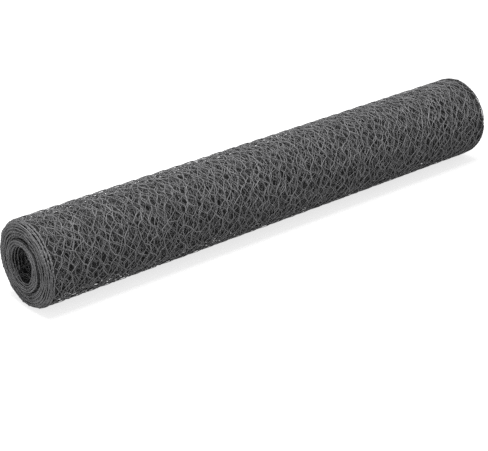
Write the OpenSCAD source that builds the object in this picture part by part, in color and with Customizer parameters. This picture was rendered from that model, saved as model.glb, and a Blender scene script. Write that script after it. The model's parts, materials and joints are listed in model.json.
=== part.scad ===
// Roll of hexagonal wire netting (chicken wire), lying on its side.
// The netting is wound round an open bore. Here all its turns are one turned body: the edge
// of each turn stands up as a ridge on both ends. The outer turns have slid along the roll one
// way and the inner turns the other way, so the start end is shouldered and the far end is
// dished. The hexagonal mesh itself is fine relief.
// Millimetres. The roll's axis runs along X, Z is up, and the roll rests on z = 0.

/* [Netting] */
// Width of one mesh, between two twists of the same row
mesh_width = 31; // [13:0.5:51]
// Number of meshes across the netting
meshes_across = 32; // [10:1:60]
// Thickness of the edge of one turn
edge_thickness = 0.9; // [0.5:0.05:1.1]

/* [Winding] */
// Radius of the open bore
bore_radius = 30; // [20:0.5:60]
// Number of turns wound on
turn_count = 30; // [12:1:60]
// Depth that each turn takes up in the winding
turn_pitch = 1.45; // [1.2:0.05:3]
// Number of turns wound tight round the bore, inside the slack turn
inner_turns = 9; // [3:1:10]
// Clear gap where the winding is slack
slack_gap = 2.5; // [0.5:0.1:6]

/* [Ends] */
// How far the inner turns have slid out at the start end
inner_slide = 4; // [0:0.5:15]
// How far the outermost turn has slid the other way, out at the far end
outer_slide = 10; // [0:0.5:20]
// Number of outer turns that have slid
slid_turns = 8; // [2:1:9]
// How fast the slide grows towards the outside
slide_curve = 1.4; // [1:0.1:3]
// Depth of the groove between two turns at an end
groove_depth = 2; // [0.5:0.1:4]
// Depth of the groove at the slack turn
slack_depth = 8; // [1:0.5:20]

/* [Hidden] */

netting_width = mesh_width * meshes_across;
outer_radius = bore_radius + turn_count * turn_pitch + slack_gap;
roll_length = inner_slide + netting_width + outer_slide;
last_turn = turn_count - 1;
round_steps = 96;

// Inner radius of a turn, counted from the bore
function turn_radius(turn) =
    bore_radius + turn * turn_pitch + (turn >= inner_turns ? slack_gap : 0);

// How far a turn has slid along the roll, towards the far end
function turn_slide(turn) =
    turn < inner_turns
        ? -inner_slide
        : outer_slide * pow(max(0, turn - last_turn + slid_turns) / slid_turns, slide_curve);

// Depth of the groove between a turn and the next one out
function groove_after(turn) = turn == inner_turns - 1 ? slack_depth : groove_depth;

// Start end, from the bore outwards: the ridge of a turn, then the floor of its groove
function start_end(turn) =
    let (
        inside = turn_radius(turn),
        ridge = turn_slide(turn),
        floor_at = turn_slide(turn + 1) + groove_after(turn)
    )
    turn == last_turn
        ? [[inside, ridge], [outer_radius, ridge]]
        : [
            [inside, ridge],
            [inside + edge_thickness, ridge],
            [inside + edge_thickness, floor_at],
            [turn_radius(turn + 1), floor_at],
        ];

// Far end, from the outside inwards: the ridge of a turn, then the floor of the groove inside it
function far_end(turn) =
    let (
        inside = turn_radius(turn),
        outside = turn == last_turn ? outer_radius : inside + edge_thickness,
        ridge = netting_width + turn_slide(turn)
    )
    turn == 0
        ? [[outside, ridge], [inside, ridge]]
        : let (floor_at = netting_width + turn_slide(turn - 1) - groove_after(turn - 1))
        [
            [outside, ridge],
            [inside, ridge],
            [inside, floor_at],
            [turn_radius(turn - 1) + edge_thickness, floor_at],
        ];

// Half section of the wound netting: radius across, place along the roll upwards
module winding_section() {
    polygon([
        for (turn = [0 : last_turn]) each start_end(turn),
        for (turn = [last_turn : -1 : 0]) each far_end(turn),
    ]);
}

module netting_roll() {
    color("dimgray")
        translate([inner_slide - roll_length / 2, 0, outer_radius])
            rotate([0, 90, 0])
                rotate_extrude($fn = round_steps)
                    winding_section();
}

netting_roll();
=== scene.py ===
"""Looks of a roll of hexagonal wire netting, lying on its side.

The netting is modelled flat: one mesh of wire is drawn and repeated into rows. Each length of
it is then wound on to the roll. Flat places are (u, v, w): u along the netting, v across it and
w out of it. The roll's axis runs along X, and it rests on z = 0. Metres.
"""

import json
import math

import bpy
import numpy as np
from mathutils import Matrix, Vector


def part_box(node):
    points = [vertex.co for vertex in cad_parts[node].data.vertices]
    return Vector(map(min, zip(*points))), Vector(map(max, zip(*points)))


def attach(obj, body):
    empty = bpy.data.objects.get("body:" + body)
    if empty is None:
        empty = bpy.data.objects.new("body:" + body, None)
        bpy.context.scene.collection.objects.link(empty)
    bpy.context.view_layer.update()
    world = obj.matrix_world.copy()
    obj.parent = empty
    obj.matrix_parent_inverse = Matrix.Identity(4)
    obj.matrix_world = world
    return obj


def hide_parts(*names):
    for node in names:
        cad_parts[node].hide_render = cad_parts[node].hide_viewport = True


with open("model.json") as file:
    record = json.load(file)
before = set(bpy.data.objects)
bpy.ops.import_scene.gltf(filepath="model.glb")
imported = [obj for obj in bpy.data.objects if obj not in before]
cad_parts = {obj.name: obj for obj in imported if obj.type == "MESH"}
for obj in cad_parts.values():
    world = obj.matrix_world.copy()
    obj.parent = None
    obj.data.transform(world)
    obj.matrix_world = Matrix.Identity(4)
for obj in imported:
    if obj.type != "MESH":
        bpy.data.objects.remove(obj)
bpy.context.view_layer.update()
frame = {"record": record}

MM = 0.001
TAU = 2 * math.pi

# The netting
MESHES_ACROSS = 32
ROW_PITCH = 30.5 * MM
TWIST_LENGTH = 13 * MM
HALF_TWISTS = 3
WIRE_RADIUS = 0.6 * MM
TWIST_RADIUS = 0.6 * MM
BEND_RUN = 2.2 * MM
BEND_SPREAD = 0.9 * MM

# The two edges: the last wire goes once round a rope of two wires
ROPE_LAY = 14 * MM
ROPE_WIRE_RADIUS = 0.55 * MM
ROPE_RADIUS = 0.45 * MM
ROPE_SIDES = 5
ROPE_STEPS = 4
WRAP_RADIUS = 1.2 * MM
WRAP_STEPS = 6

# The winding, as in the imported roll
ROLL_LOW, ROLL_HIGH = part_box("netting_roll")
ROLL_RADIUS = (ROLL_HIGH[2] - ROLL_LOW[2]) / 2
START_X, FAR_X = ROLL_LOW[0], ROLL_HIGH[0]
BORE = next(mount for mount in frame["record"]["mounts"] if mount["name"] == "bore")
BORE_RADIUS = BORE["dims"]["r_mm"] * MM
TURN_COUNT = 30
INNER_TURNS = 9
SLACK_GAP = 2.5 * MM
INNER_SLIDE = 4 * MM
OUTER_SLIDE = 10 * MM
SLID_TURNS = 8
SLIDE_CURVE = 1.4
EDGE_INSET = 2.2 * MM
END_ROOM = 0.1 * MM
NETTING_WIDTH = FAR_X - START_X - INNER_SLIDE - OUTER_SLIDE - 2 * EDGE_INSET
MESH_WIDTH = NETTING_WIDTH / MESHES_ACROSS

# How the turns lie on each other: tighter outwards, in bunches, and squeezed at the very outside
INNER_LAYER = BORE_RADIUS + 1.3 * MM
OUTER_ROOM = 0.5 * MM
OUTER_LAYER = ROLL_RADIUS - 0.05 * MM - OUTER_ROOM
INNER_PITCH = 1.45 * MM
TIGHTENING = 0.5
BUNCHING = 0.4 * MM
BUNCHING_LOSS = 0.7
STAGGER = 1.2 * MM
TURNS_IN_BUNCH = 3.2
STEP_TURNS = 0.5
OUTER_END = math.radians(-40)

# How the wire strays from an even winding
DRIFT_ALONG = 3.4 * MM
DRIFT_ACROSS = 3.2 * MM
DRIFT_FREE_RUN = 30 * MM
DRIFT_AT_EDGE = 0.25
EDGE_SWAY = 0.7 * MM
RIPPLE = 0.18 * MM
DENTS = 0.08 * MM

# The innermost turns: low in their slack, sunk into the start end, and sprung loose at one side
INNER_DROP = 1 * MM
FUNNEL_DEPTH = 11 * MM
FUNNEL_TURNS = 4
LOOSE_AT = math.radians(200)
LOOSE_SAG = 4 * MM
LOOSE_TURNS = 1.6

# The far rim, drawn in
RIM_RUN = 14 * MM
RIM_DRAW = 4.5 * MM

# Which turns are drawn with all their wire
FULL_FROM = 21
INNER_FULL = 4

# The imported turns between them, set back from the netting's edges
PACKED_SETBACK = 3.4 * MM
PACKED_GROOVE = 1.4 * MM
RIDGE_SHARE = 0.3
LAST_RIDGE = 28
SHOULDER_RUN = 14 * MM
ROUND_STEPS = 96
# Painted shade on the packed body: its painted wire layers darken with depth, and its tone is
# darker than the wire's coat
PAINTED_LAYERS = 9
DEPTH_SHADE_CURVE = 1.4
PACKED_SHADED_TONE = 0.11
# Painted light: the bore wall's tone is lighter than the wire's coat, to brighten the dim bore
BORE_LIT_TONE = 0.26

# Wire at four finenesses: its sides, its steps through a twist, and whether its bends are drawn
FINE = (5, 6, True)
MEDIUM = (4, 6, True)
COARSE = (4, 4, True)
SPARE = (3, 4, False)
COARSE_TURNS = 5
TURNS_PER_ROPE = 10

# The stage: how far the floor is lifted towards white, and how brightly the room glows
FLOOR_LIFT = 0.75
ROOM_GLOW = 0.33


def past_inner(turn):
    """0 on the inner turns, 1 on the outer ones, and in between where the winding steps out."""
    return np.clip((turn - INNER_TURNS) / STEP_TURNS + 0.5, 0, 1)


def layer_radius(turn):
    """Radius of the middle of the netting, so many turns out from the bore."""
    inner = INNER_PITCH * np.minimum(turn, INNER_TURNS)
    slack = past_inner(turn)
    share = np.maximum(turn - INNER_TURNS, 0) / (TURN_COUNT - INNER_TURNS)
    outer = OUTER_LAYER - INNER_LAYER - SLACK_GAP - INNER_PITCH * INNER_TURNS
    away_from_ends = np.clip(np.minimum(turn, TURN_COUNT - turn) / 2, 0, 1)
    bunching = BUNCHING * (1 - BUNCHING_LOSS * share) * away_from_ends
    return (
        INNER_LAYER
        + inner
        + SLACK_GAP * slack * slack * (3 - 2 * slack)
        + outer * share * (1 + TIGHTENING * (1 - share))
        + bunching * np.sin(TAU * turn / TURNS_IN_BUNCH)
    )


TURNS = np.linspace(-0.3, TURN_COUNT + 0.3, 6200)
STEP_RADII = (layer_radius(TURNS[1:]) + layer_radius(TURNS[:-1])) / 2
REACH = np.concatenate([[0], np.cumsum(TAU * STEP_RADII * np.diff(TURNS))])
REACH -= np.interp(0, TURNS, REACH)


def reach(turn):
    """Length of netting wound on before this turn."""
    return float(np.interp(turn, TURNS, REACH))


def waves(seed, shortest, longest, count=14):
    """A smooth random function of two lengths, mostly between -1 and 1."""
    rng = np.random.default_rng(seed)
    lengths = np.exp(rng.uniform(np.log(shortest), np.log(longest), count))
    headings = rng.uniform(0, TAU, count)
    phases = rng.uniform(0, TAU, count)

    def height(a, b):
        total = 0
        for length, heading, phase in zip(lengths, headings, phases):
            along = a * math.cos(heading) + b * math.sin(heading)
            total = total + np.sin(TAU / length * along + phase)
        return total / math.sqrt(count)

    return height


drift_along = waves(11, 24 * MM, 130 * MM)
drift_across = waves(12, 24 * MM, 130 * MM)
ripple = waves(13, 25 * MM, 90 * MM)
dents = waves(14, 60 * MM, 400 * MM)
edge_sway = waves(15, 150 * MM, 600 * MM)


def slide(turn):
    """How far the netting has slid along the roll, towards the far end."""
    inner = -INNER_SLIDE * (1 - past_inner(turn))
    grown = np.clip((turn - (TURN_COUNT - SLID_TURNS)) / SLID_TURNS, 0, 1)
    stagger = STAGGER * np.sin(TAU * turn / TURNS_IN_BUNCH + 1)
    return inner + stagger + OUTER_SLIDE * grown**SLIDE_CURVE


def sway_of_edges(u):
    """How far the whole width of netting lies to one side, so far along it."""
    return EDGE_SWAY * np.clip(edge_sway(u, 0 * u), -1.6, 1.6)


def denting(x, angle):
    """How far the roll is dented here, in shallow dents longer than a mesh."""
    around = ROLL_RADIUS * (np.cos(angle) + 1.7 + 0.4 * np.sin(angle))
    return DENTS * (1 + np.clip(dents(x, around), -1, 1))


def wind(flat):
    """Places in the roll of places on the flat netting."""
    u, v, w = flat.T
    from_edge = np.minimum(v, NETTING_WIDTH - v)
    free = DRIFT_AT_EDGE + (1 - DRIFT_AT_EDGE) * np.clip(from_edge / DRIFT_FREE_RUN, 0, 1)
    u = u + DRIFT_ALONG * free * drift_along(u, v)
    turn = np.interp(u, REACH, TURNS)
    angle = OUTER_END + TAU * (turn - TURN_COUNT)

    x = START_X + INNER_SLIDE + EDGE_INSET + v + slide(turn)
    x = x + DRIFT_ACROSS * free * drift_across(u, v) + sway_of_edges(u)
    sunk = np.clip(1 - turn / FUNNEL_TURNS, 0, 1) * np.sin((angle - LOOSE_AT) / 2) ** 2
    x = x + FUNNEL_DEPTH * sunk

    radius = layer_radius(turn) + w + RIPPLE * np.clip(ripple(u, v), -1.5, 1.5) - denting(x, angle)
    rim = np.clip((x - (FAR_X - RIM_RUN)) / RIM_RUN, 0, 1)
    radius = radius - RIM_DRAW * rim**2
    loose = np.clip(np.cos(angle - LOOSE_AT), 0, 1) ** 2 * np.clip(LOOSE_TURNS - turn, 0, 1)
    radius = radius - LOOSE_SAG * loose
    over = np.maximum(radius - OUTER_LAYER, 0)
    radius = np.minimum(radius, OUTER_LAYER) + OUTER_ROOM * (1 - np.exp(-over / OUTER_ROOM))

    x = np.clip(x, START_X + END_ROOM, FAR_X - END_ROOM)
    middle = ROLL_RADIUS - INNER_DROP * (1 - past_inner(turn))
    return np.stack([x, radius * np.cos(angle), middle + radius * np.sin(angle)], axis=1)


# Drawing wire, flat


def only(*objects):
    """Selects these objects and nothing else."""
    bpy.ops.object.select_all(action="DESELECT")
    for each in objects:
        each.select_set(True)
    bpy.context.view_layer.objects.active = objects[0]


def new_piece(name):
    """An empty mesh object in edit mode, to draw wire in."""
    bpy.ops.object.select_all(action="DESELECT")
    bpy.ops.mesh.primitive_plane_add(size=MM)
    piece = bpy.context.object
    piece.name = piece.data.name = name
    bpy.ops.object.mode_set(mode="EDIT")
    bpy.ops.mesh.select_mode(type="VERT")
    bpy.ops.mesh.select_all(action="SELECT")
    bpy.ops.mesh.delete(type="VERT")
    return piece


def draw_wire(path, sides, radius=WIRE_RADIUS):
    """Extrudes a ring of wire from point to point, and turns it to face along the path."""
    path = np.asarray(path)
    steps = np.diff(path, axis=0)
    along = np.concatenate([steps[:1], (steps[1:] + steps[:-1]) / 2, steps[-1:]])
    headings = np.arctan2(along[:, 1], along[:, 0])
    bpy.ops.mesh.select_all(action="DESELECT")
    bpy.ops.mesh.primitive_circle_add(
        vertices=sides, radius=radius, location=path[0], rotation=(0, math.pi / 2, headings[0])
    )
    for point, step, turn in zip(path[1:], steps, np.diff(headings)):
        bpy.ops.mesh.extrude_region_move(TRANSFORM_OT_translate={"value": tuple(step)})
        bpy.ops.transform.rotate(value=-turn, orient_axis="Z", center_override=tuple(point))


def helix(start, length, half_turns, radius, steps, phase):
    """Points of a wire that winds round the line from start along +u."""
    share = np.linspace(0, 1, steps + 1)
    swing = phase + math.pi * half_turns * share
    return [
        (start + length * s, radius * math.cos(a), radius * math.sin(a))
        for s, a in zip(share, swing)
    ]


def twist_path(side, steps, bent):
    """One wire through a twist: it comes in from one side (-1 or 1) and leaves on the other."""
    phase = math.pi if side < 0 else 0
    middle = helix(-TWIST_LENGTH / 2, TWIST_LENGTH, HALF_TWISTS, TWIST_RADIUS, steps, phase)
    into = [(-ROW_PITCH / 2, side * MESH_WIDTH / 4, 0)]
    out = [(ROW_PITCH / 2, -side * MESH_WIDTH / 4, 0)]
    if bent:
        bend_at, apart = TWIST_LENGTH / 2 + BEND_RUN, side * (TWIST_RADIUS + BEND_SPREAD)
        into.append((-bend_at, apart, 0))
        out.insert(0, (bend_at, -apart, 0))
    return into + middle + out


def wrap_path():
    """The last wire of a row: it comes in to the edge, goes once round it and leaves again."""
    turn = helix(-TWIST_LENGTH / 3, TWIST_LENGTH / 1.5, 2, WRAP_RADIUS, WRAP_STEPS, 0)
    return [(-ROW_PITCH / 2, MESH_WIDTH / 4, 0)] + turn + [(ROW_PITCH / 2, MESH_WIDTH / 4, 0)]


def moved(path, u, v, flip=1):
    """A path moved on by (u, v), and turned over across the netting where flip is -1."""
    return [(a + u, flip * b + v, c) for a, b, c in path]


def repeated(piece, count, step):
    """Repeats a piece count times, each a step (u, v) on from the last."""
    array = piece.modifiers.new("repeat", "ARRAY")
    array.use_relative_offset = False
    array.use_constant_offset = True
    array.constant_offset_displace = (step[0], step[1], 0)
    array.count = count
    only(piece)
    bpy.ops.object.modifier_apply(modifier=array.name)


def joined(name, parts):
    """The parts as one piece, in their order."""
    only(*parts)
    bpy.ops.object.join()
    piece = bpy.context.object
    piece.name = piece.data.name = name
    return piece


def even_row(fineness, columns):
    """Twists in the middle of each mesh of the netting's width."""
    sides, steps, bent = fineness
    piece = new_piece("even_row")
    for side in (-1, 1):
        draw_wire(moved(twist_path(side, steps, bent), 0, MESH_WIDTH / 2), sides)
    bpy.ops.object.mode_set(mode="OBJECT")
    spread_columns(piece, MESHES_ACROSS, columns)
    return piece


def odd_row(fineness, columns):
    """Twists between the meshes, with the outermost wires taken round the two edges."""
    sides, steps, bent = fineness
    piece = new_piece("odd_row")
    for side in (-1, 1):
        draw_wire(moved(twist_path(side, steps, bent), ROW_PITCH, MESH_WIDTH), sides)
    bpy.ops.object.mode_set(mode="OBJECT")
    spread_columns(piece, MESHES_ACROSS - 1, columns)
    edges = new_piece("edges")
    draw_wire(moved(wrap_path(), ROW_PITCH, 0), sides)
    draw_wire(moved(wrap_path(), ROW_PITCH, NETTING_WIDTH, flip=-1), sides)
    bpy.ops.object.mode_set(mode="OBJECT")
    return joined("odd_row", [piece, edges])


def spread_columns(piece, count, columns):
    """Repeats a twist right across the netting, or in only so many columns at each edge."""
    if columns is None:
        repeated(piece, count, (0, MESH_WIDTH))
        return
    repeated(piece, 2, (0, (count - columns) * MESH_WIDTH))
    if columns > 1:
        repeated(piece, columns, (0, MESH_WIDTH))


def finished(piece, material):
    """Closes the drawn wire's ends and seams, winds it on to the roll and gives it its coat."""
    only(piece)
    bpy.ops.object.mode_set(mode="EDIT")
    bpy.ops.mesh.select_all(action="SELECT")
    bpy.ops.mesh.remove_doubles(threshold=0.02 * MM)
    bpy.ops.mesh.select_all(action="SELECT")
    bpy.ops.mesh.fill_holes(sides=8)
    bpy.ops.mesh.select_all(action="SELECT")
    bpy.ops.mesh.normals_make_consistent(inside=False)
    bpy.ops.object.mode_set(mode="OBJECT")
    wind_piece(piece)
    only(piece)
    bpy.ops.object.shade_smooth()
    piece.data.materials.clear()
    piece.data.materials.append(material)
    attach(piece, "root")
    return piece


def wind_piece(piece):
    """Moves every point of a flat piece to its place in the roll."""
    flat = np.empty(len(piece.data.vertices) * 3, np.float32)
    piece.data.vertices.foreach_get("co", flat)
    wound = wind(flat.reshape(-1, 3).astype(float))
    piece.data.vertices.foreach_set("co", wound.astype(np.float32).ravel())
    piece.data.update()


def netting(name, first_turn, last_turn, fineness, material, columns=None):
    """A length of netting, from one turn of the roll to another."""
    first_pair = math.ceil(reach(first_turn) / (2 * ROW_PITCH))
    last_pair = math.ceil(reach(last_turn) / (2 * ROW_PITCH))
    parts = []
    for row in (even_row(fineness, columns), odd_row(fineness, columns)):
        repeated(row, last_pair - first_pair, (2 * ROW_PITCH, 0))
        parts.append(row)
    piece = joined(name, parts)
    only(piece)
    piece.location.x = first_pair * 2 * ROW_PITCH
    bpy.ops.object.transform_apply(location=True)
    return finished(piece, material)


def edge_rope(name, first_turn, last_turn, material):
    """The two wires twisted together that run along both edges of the netting."""
    piece = new_piece(name)
    for phase in (0, math.pi):
        for edge in (0, NETTING_WIDTH):
            path = helix(0, ROPE_LAY, 2, ROPE_RADIUS, ROPE_STEPS, phase)
            draw_wire(moved(path, 0, edge), ROPE_SIDES, ROPE_WIRE_RADIUS)
    bpy.ops.object.mode_set(mode="OBJECT")
    start = reach(first_turn)
    lays = round((reach(last_turn) - start) / ROPE_LAY)
    repeated(piece, lays, (ROPE_LAY, 0))
    piece.location.x = start
    bpy.ops.object.transform_apply(location=True)
    return finished(piece, material)


def packed_outline():
    """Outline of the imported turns, as places (x, radius) in order round it."""
    edge = START_X + INNER_SLIDE + EDGE_INSET + PACKED_SETBACK
    width = NETTING_WIDTH - 2 * PACKED_SETBACK
    start_end, far_end = [], []
    for turn in range(INNER_FULL, LAST_RIDGE + 1):
        middle, after = layer_radius(turn + 0.5), layer_radius(turn + 1.5)
        half = RIDGE_SHARE * (after - middle)
        ridge, next_ridge = edge + slide(turn + 0.5), edge + slide(turn + 1.5)
        for side, out in ((start_end, 0), (far_end, width)):
            deeper = PACKED_GROOVE if side is start_end else -PACKED_GROOVE
            side += [(ridge + out, middle - half), (ridge + out, middle + half)]
            if turn < LAST_RIDGE:
                groove, next_groove = ridge + out + deeper, next_ridge + out + deeper
                side += [(groove, middle + half), (next_groove, after - half)]
    body = layer_radius(FULL_FROM - 0.6) - 1 * MM
    waist = [(start_end[-1][0] + SHOULDER_RUN, body), (far_end[-1][0] - SHOULDER_RUN, body)]
    return start_end + waist + far_end[::-1]


def packed_turns(wall, edges, bore_wall):
    """The turns too deep in the roll to see: one turned body, ridged on its ends."""
    outline = packed_outline()
    bpy.ops.object.select_all(action="DESELECT")
    bpy.ops.mesh.primitive_circle_add(vertices=len(outline), radius=ROLL_RADIUS)
    piece = bpy.context.object
    piece.name = piece.data.name = "packed_turns"
    for vertex, (x, radius) in zip(piece.data.vertices, outline):
        vertex.co = (x, radius, ROLL_RADIUS)
    bpy.ops.object.mode_set(mode="EDIT")
    bpy.ops.mesh.select_all(action="SELECT")
    bpy.ops.mesh.spin(steps=ROUND_STEPS, angle=TAU, center=(0, 0, ROLL_RADIUS), axis=(1, 0, 0))
    bpy.ops.mesh.select_all(action="SELECT")
    bpy.ops.mesh.remove_doubles(threshold=0.01 * MM)
    bpy.ops.mesh.normals_make_consistent(inside=False)
    bpy.ops.object.mode_set(mode="OBJECT")
    for material in (wall, edges, bore_wall):
        piece.data.materials.append(material)
    bore = outline[0][1] + 0.1 * MM
    for face in piece.data.polygons:
        radius = math.hypot(face.center.y, face.center.z - ROLL_RADIUS)
        face.material_index = 2 if radius < bore else int(abs(face.normal.x) > 0.7)
    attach(piece, "root")
    return piece


# Materials


def plain(name, color, roughness):
    """A material of one colour."""
    material = bpy.data.materials.new(name)
    material.use_nodes = True
    shader = material.node_tree.nodes["Principled BSDF"]
    shader.inputs["Base Color"].default_value = (*color, 1)
    shader.inputs["Roughness"].default_value = roughness
    return material


def add(tree, kind, links=None, **settings):
    """A new node. Settings are its options, or the values of its inputs; links feed its inputs."""
    node = tree.nodes.new("ShaderNode" + kind)
    for name, value in settings.items():
        if name in node.inputs:
            node.inputs[name].default_value = value
        else:
            setattr(node, name, value)
    for name, source in (links or {}).items():
        tree.links.new(source, node.inputs[name])
    return node


def new_group(name, inputs, outputs):
    """An empty node group with these sockets, with its input and output nodes."""
    tree = bpy.data.node_groups.new(name, "ShaderNodeTree")
    for side, sockets in (("INPUT", inputs), ("OUTPUT", outputs)):
        for socket, kind in sockets.items():
            tree.interface.new_socket(socket, in_out=side, socket_type="NodeSocket" + kind)
    return tree, tree.nodes.new("NodeGroupInput"), tree.nodes.new("NodeGroupOutput")


def coat_group():
    """A plastic coat on wire: uneven tone, pale dusty rubs, and a slightly uneven skin."""
    tree, given, out = new_group(
        "coat",
        {"Tone": "Color", "Rubbed": "Color", "Rubs": "Float"},
        {"Color": "Color", "Roughness": "Float", "Height": "Float"},
    )
    place = add(tree, "TexCoord").outputs["Object"]
    drift = add(tree, "TexNoise", {"Vector": place}, Scale=42, Detail=3)
    level = add(tree, "MapRange", {"Value": drift.outputs["Fac"]})
    level.inputs["From Min"].default_value, level.inputs["From Max"].default_value = 0.3, 0.7
    level.inputs["To Min"].default_value, level.inputs["To Max"].default_value = 0.78, 1.22
    toned = add(tree, "VectorMath", operation="SCALE")
    tree.links.new(given.outputs["Tone"], toned.inputs[0])
    tree.links.new(level.outputs["Result"], toned.inputs["Scale"])
    patches = add(tree, "TexNoise", {"Vector": place}, Scale=310, Detail=2, Roughness=0.6)
    rub = add(tree, "MapRange", {"Value": patches.outputs["Fac"], "To Max": given.outputs["Rubs"]})
    rub.interpolation_type = "SMOOTHSTEP"
    rub.inputs["From Min"].default_value, rub.inputs["From Max"].default_value = 0.58, 0.7
    mixed = add(tree, "Mix", data_type="RGBA")
    tree.links.new(rub.outputs["Result"], mixed.inputs["Factor"])
    tree.links.new(toned.outputs["Vector"], mixed.inputs[6])
    tree.links.new(given.outputs["Rubbed"], mixed.inputs[7])
    gloss = add(tree, "MapRange", {"Value": patches.outputs["Fac"]})
    gloss.inputs["From Min"].default_value, gloss.inputs["From Max"].default_value = 0.3, 0.75
    gloss.inputs["To Min"].default_value, gloss.inputs["To Max"].default_value = 0.4, 0.62
    skin = add(tree, "TexNoise", {"Vector": place}, Scale=1400, Detail=2)
    tree.links.new(mixed.outputs[2], out.inputs["Color"])
    tree.links.new(gloss.outputs["Result"], out.inputs["Roughness"])
    tree.links.new(skin.outputs["Fac"], out.inputs["Height"])
    return tree


def clutter_group():
    """One layer of netting seen edge to edge on a surface: a mask of its wires."""
    tree, given, out = new_group(
        "wire_layer", {"Place": "Vector", "Shift": "Vector"}, {"Wires": "Float"}
    )
    moved_to = add(tree, "VectorMath", operation="ADD")
    tree.links.new(given.outputs["Place"], moved_to.inputs[0])
    tree.links.new(given.outputs["Shift"], moved_to.inputs[1])
    sway = add(tree, "TexNoise", {"Vector": moved_to.outputs["Vector"]}, Scale=30, Detail=1)
    swayed = add(tree, "VectorMath", operation="MULTIPLY_ADD")
    tree.links.new(sway.outputs["Color"], swayed.inputs[0])
    swayed.inputs[1].default_value = (8 * MM, 8 * MM, 0)
    tree.links.new(moved_to.outputs["Vector"], swayed.inputs[2])
    cells = add(
        tree,
        "TexVoronoi",
        {"Vector": swayed.outputs["Vector"]},
        feature="DISTANCE_TO_EDGE",
        voronoi_dimensions="2D",
        Scale=1 / MESH_WIDTH,
        Randomness=0.7,
    )
    line = add(tree, "MapRange", {"Value": cells.outputs["Distance"]})
    line.interpolation_type = "SMOOTHSTEP"
    line.inputs["From Min"].default_value = 0.4 * WIRE_RADIUS / MESH_WIDTH
    line.inputs["From Max"].default_value = 2.0 * WIRE_RADIUS / MESH_WIDTH
    line.inputs["To Min"].default_value, line.inputs["To Max"].default_value = 1, 0
    tree.links.new(line.outputs["Result"], out.inputs["Wires"])
    return tree


def placed(tree, group, **values):
    """A node group, placed in a material with its own values."""
    node = tree.nodes.new("ShaderNodeGroup")
    node.node_tree = group
    for name, value in values.items():
        node.inputs[name].default_value = value
    return node


def bumped(material, height, strength, depth):
    """Gives a material relief from a height, this deep at most."""
    tree = material.node_tree
    bump = add(tree, "Bump", {"Height": height}, Strength=strength, Distance=depth)
    tree.links.new(bump.outputs["Normal"], tree.nodes["Principled BSDF"].inputs["Normal"])


def coated_wire(coat):
    """Dark grey plastic-coated wire."""
    material = plain("coated_wire", (0.24, 0.24, 0.245), 0.5)
    tree = material.node_tree
    shader = tree.nodes["Principled BSDF"]
    tone, rubbed = (0.225, 0.225, 0.23, 1), (0.38, 0.38, 0.375, 1)
    look = placed(tree, coat, Tone=tone, Rubbed=rubbed, Rubs=0.65)
    tree.links.new(look.outputs["Color"], shader.inputs["Base Color"])
    tree.links.new(look.outputs["Roughness"], shader.inputs["Roughness"])
    bumped(material, look.outputs["Height"], 0.25, 0.15 * MM)
    return material


def packed_netting(name, radius, tone, coat, layer):
    """Wire after wire on a wall of this radius, each deeper layer painted darker as painted shade,
    over a near-black painted shade.
    """
    material = plain(name, (0.03, 0.03, 0.03), 0.7)
    tree = material.node_tree
    shader = tree.nodes["Principled BSDF"]
    place = add(tree, "SeparateXYZ", {"Vector": add(tree, "TexCoord").outputs["Object"]})
    height = add(tree, "Math", {0: place.outputs["Z"]}, operation="SUBTRACT")
    height.inputs[1].default_value = ROLL_RADIUS
    angle = add(tree, "Math", {0: place.outputs["Y"], 1: height.outputs[0]}, operation="ARCTAN2")
    around = add(tree, "Math", {0: angle.outputs[0]}, operation="MULTIPLY")
    around.inputs[1].default_value = radius
    unrolled = add(tree, "CombineXYZ", {"X": place.outputs["X"], "Y": around.outputs[0]})
    dull, rubbed = (tone, tone, 1.02 * tone, 1), (0.25, 0.25, 0.25, 1)
    look = placed(tree, coat, Tone=dull, Rubbed=rubbed, Rubs=0.4)
    color, relief = None, None
    # Painted shade: deeper layers show more weakly over near-black, as the depths of the roll lie
    # in shade
    for depth in range(PAINTED_LAYERS):
        wires = placed(tree, layer, Shift=(0.37 * depth, 0.23 * depth, 0))
        tree.links.new(unrolled.outputs["Vector"], wires.inputs["Place"])
        share = add(tree, "Math", {0: wires.outputs["Wires"]}, operation="MULTIPLY")
        share.inputs[1].default_value = ((depth + 1) / PAINTED_LAYERS) ** DEPTH_SHADE_CURVE
        over = add(tree, "Mix", data_type="RGBA")
        tree.links.new(share.outputs[0], over.inputs["Factor"])
        over.inputs[6].default_value = (0.01, 0.01, 0.01, 1)
        if color:
            tree.links.new(color, over.inputs[6])
        tree.links.new(look.outputs["Color"], over.inputs[7])
        color = over.outputs[2]
        highest = add(tree, "Math", {0: share.outputs[0]}, operation="MAXIMUM")
        highest.inputs[1].default_value = 0
        if relief:
            tree.links.new(relief, highest.inputs[1])
        relief = highest.outputs[0]
    tree.links.new(color, shader.inputs["Base Color"])
    bumped(material, relief, 0.8, 1.2 * MM)
    return material


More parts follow.
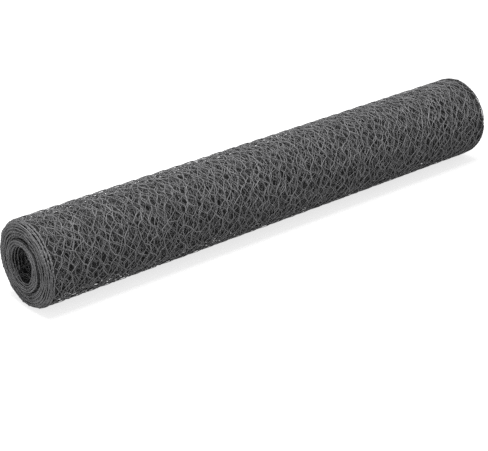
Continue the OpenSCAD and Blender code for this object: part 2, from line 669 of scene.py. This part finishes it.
def packed_edges(coat):
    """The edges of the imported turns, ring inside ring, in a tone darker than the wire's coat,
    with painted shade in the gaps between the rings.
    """
    material = plain("packed_edges", (0.12, 0.12, 0.12), 0.6)
    tree = material.node_tree
    shader = tree.nodes["Principled BSDF"]
    tone, rubbed = (0.15, 0.15, 0.153, 1), (0.22, 0.22, 0.22, 1)
    look = placed(tree, coat, Tone=tone, Rubbed=rubbed, Rubs=0.6)
    centred = add(tree, "Mapping", {"Vector": add(tree, "TexCoord").outputs["Object"]})
    centred.inputs["Location"].default_value = (0, 0, -ROLL_RADIUS)
    rings = add(
        tree,
        "TexWave",
        {"Vector": centred.outputs["Vector"]},
        wave_type="RINGS",
        rings_direction="X",
        Scale=TAU / 20 / (1.1 * MM),
        Distortion=1.2,
        Detail=2,
    )
    rings.inputs["Detail Scale"].default_value = 0.15
    # Painted shade: the rings darken the colour between the turns' edges
    shade = add(tree, "MapRange", {"Value": rings.outputs["Fac"]})
    shade.inputs["To Min"].default_value, shade.inputs["To Max"].default_value = 0.35, 1.1
    color = add(tree, "VectorMath", operation="SCALE")
    tree.links.new(look.outputs["Color"], color.inputs[0])
    tree.links.new(shade.outputs["Result"], color.inputs["Scale"])
    tree.links.new(color.outputs["Vector"], shader.inputs["Base Color"])
    tree.links.new(look.outputs["Roughness"], shader.inputs["Roughness"])
    bumped(material, rings.outputs["Fac"], 0.8, 0.8 * MM)
    return material


def floor_white():
    """Matt white that keeps its shadows pale: it glows a little, to the camera only."""
    material = plain("floor_white", (0.58, 0.58, 0.58), 0.9)
    tree = material.node_tree
    shader = tree.nodes["Principled BSDF"]
    shader.inputs["Emission Color"].default_value = (1, 1, 1, 1)
    rays = add(tree, "LightPath")
    lift = add(tree, "Math", {0: rays.outputs["Is Camera Ray"]}, operation="MULTIPLY")
    lift.inputs[1].default_value = FLOOR_LIFT
    tree.links.new(lift.outputs[0], shader.inputs["Emission Strength"])
    return material


# The stage


def place_camera():
    """Looks down at the roll from in front of its start end."""
    azimuth, elevation, distance = math.radians(39.66), math.radians(26.07), 2.8
    aim = (-0.0744, -0.0423, 0.0306)
    data = bpy.data.cameras.new("camera")
    data.lens = 118.4
    data.sensor_width = 36.0
    camera = bpy.data.objects.new("camera", data)
    bpy.context.collection.objects.link(camera)
    camera.location = (
        aim[0] - distance * math.cos(elevation) * math.sin(azimuth),
        aim[1] - distance * math.cos(elevation) * math.cos(azimuth),
        aim[2] + distance * math.sin(elevation),
    )
    camera.rotation_euler = (math.pi / 2 - elevation, 0, -azimuth)
    bpy.context.scene.camera = camera


def set_stage():
    """A white floor and room, a wide softbox overhead and a small fill light."""
    bpy.ops.object.select_all(action="DESELECT")
    bpy.ops.mesh.primitive_plane_add(size=12)
    floor = bpy.context.object
    floor.name = "floor"
    floor.data.materials.append(floor_white())
    world = bpy.data.worlds.new("studio")
    bpy.context.scene.world = world
    world.use_nodes = True
    nodes, links = world.node_tree.nodes, world.node_tree.links
    glow = nodes["Background"]
    glow.inputs["Color"].default_value = (1, 1, 1, 1)
    rays = nodes.new("ShaderNodeLightPath")
    strength = nodes.new("ShaderNodeMapRange")
    strength.inputs["To Min"].default_value = ROOM_GLOW
    strength.inputs["To Max"].default_value = 1.0
    links.new(rays.outputs["Is Camera Ray"], strength.inputs["Value"])
    links.new(strength.outputs["Result"], glow.inputs["Strength"])
    add_softbox("overhead", (-0.2, 0.0, 2.4), 1.6, 59)
    add_softbox("fill", (-2.1, -0.8, 0.7), 1.2, 5.0)
    bpy.context.scene.view_settings.view_transform = "Standard"
    bpy.context.scene.cycles.use_denoising = False


def add_softbox(name, place, size, power):
    """A square light, turned towards the roll."""
    data = bpy.data.lights.new(name, "AREA")
    data.size = size
    data.energy = power
    light = bpy.data.objects.new(name, data)
    bpy.context.collection.objects.link(light)
    light.location = place
    aim = np.array([0, 0, 0.08]) - np.array(place)
    light.rotation_euler = (
        math.acos(-aim[2] / np.linalg.norm(aim)), 0, math.atan2(aim[1], aim[0]) - math.pi / 2
    )


coat = coat_group()
wire = coated_wire(coat)

place_camera()
set_stage()
layer = clutter_group()
# The packed body's material carries painted shade, and its bore wall's material carries painted
# light
packed = packed_turns(
    packed_netting("packed_netting", layer_radius(FULL_FROM), PACKED_SHADED_TONE, coat, layer),
    packed_edges(coat),
    packed_netting("packed_bore", layer_radius(INNER_FULL), BORE_LIT_TONE, coat, layer),
)
for turn in range(TURN_COUNT):
    if turn == TURN_COUNT - 1:
        fineness = FINE
    elif turn == TURN_COUNT - 2:
        fineness = MEDIUM
    elif turn >= TURN_COUNT - COARSE_TURNS:
        fineness = COARSE
    else:
        fineness = SPARE
    columns = None if turn >= FULL_FROM or turn < INNER_FULL else 1
    netting(f"netting_turn_{turn + 1:02d}", turn, turn + 1, fineness, wire, columns)
for first in range(0, TURN_COUNT, TURNS_PER_ROPE):
    edge_rope(f"edge_ropes_{first + 1:02d}", first, first + TURNS_PER_ROPE, wire)
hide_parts("netting_roll")
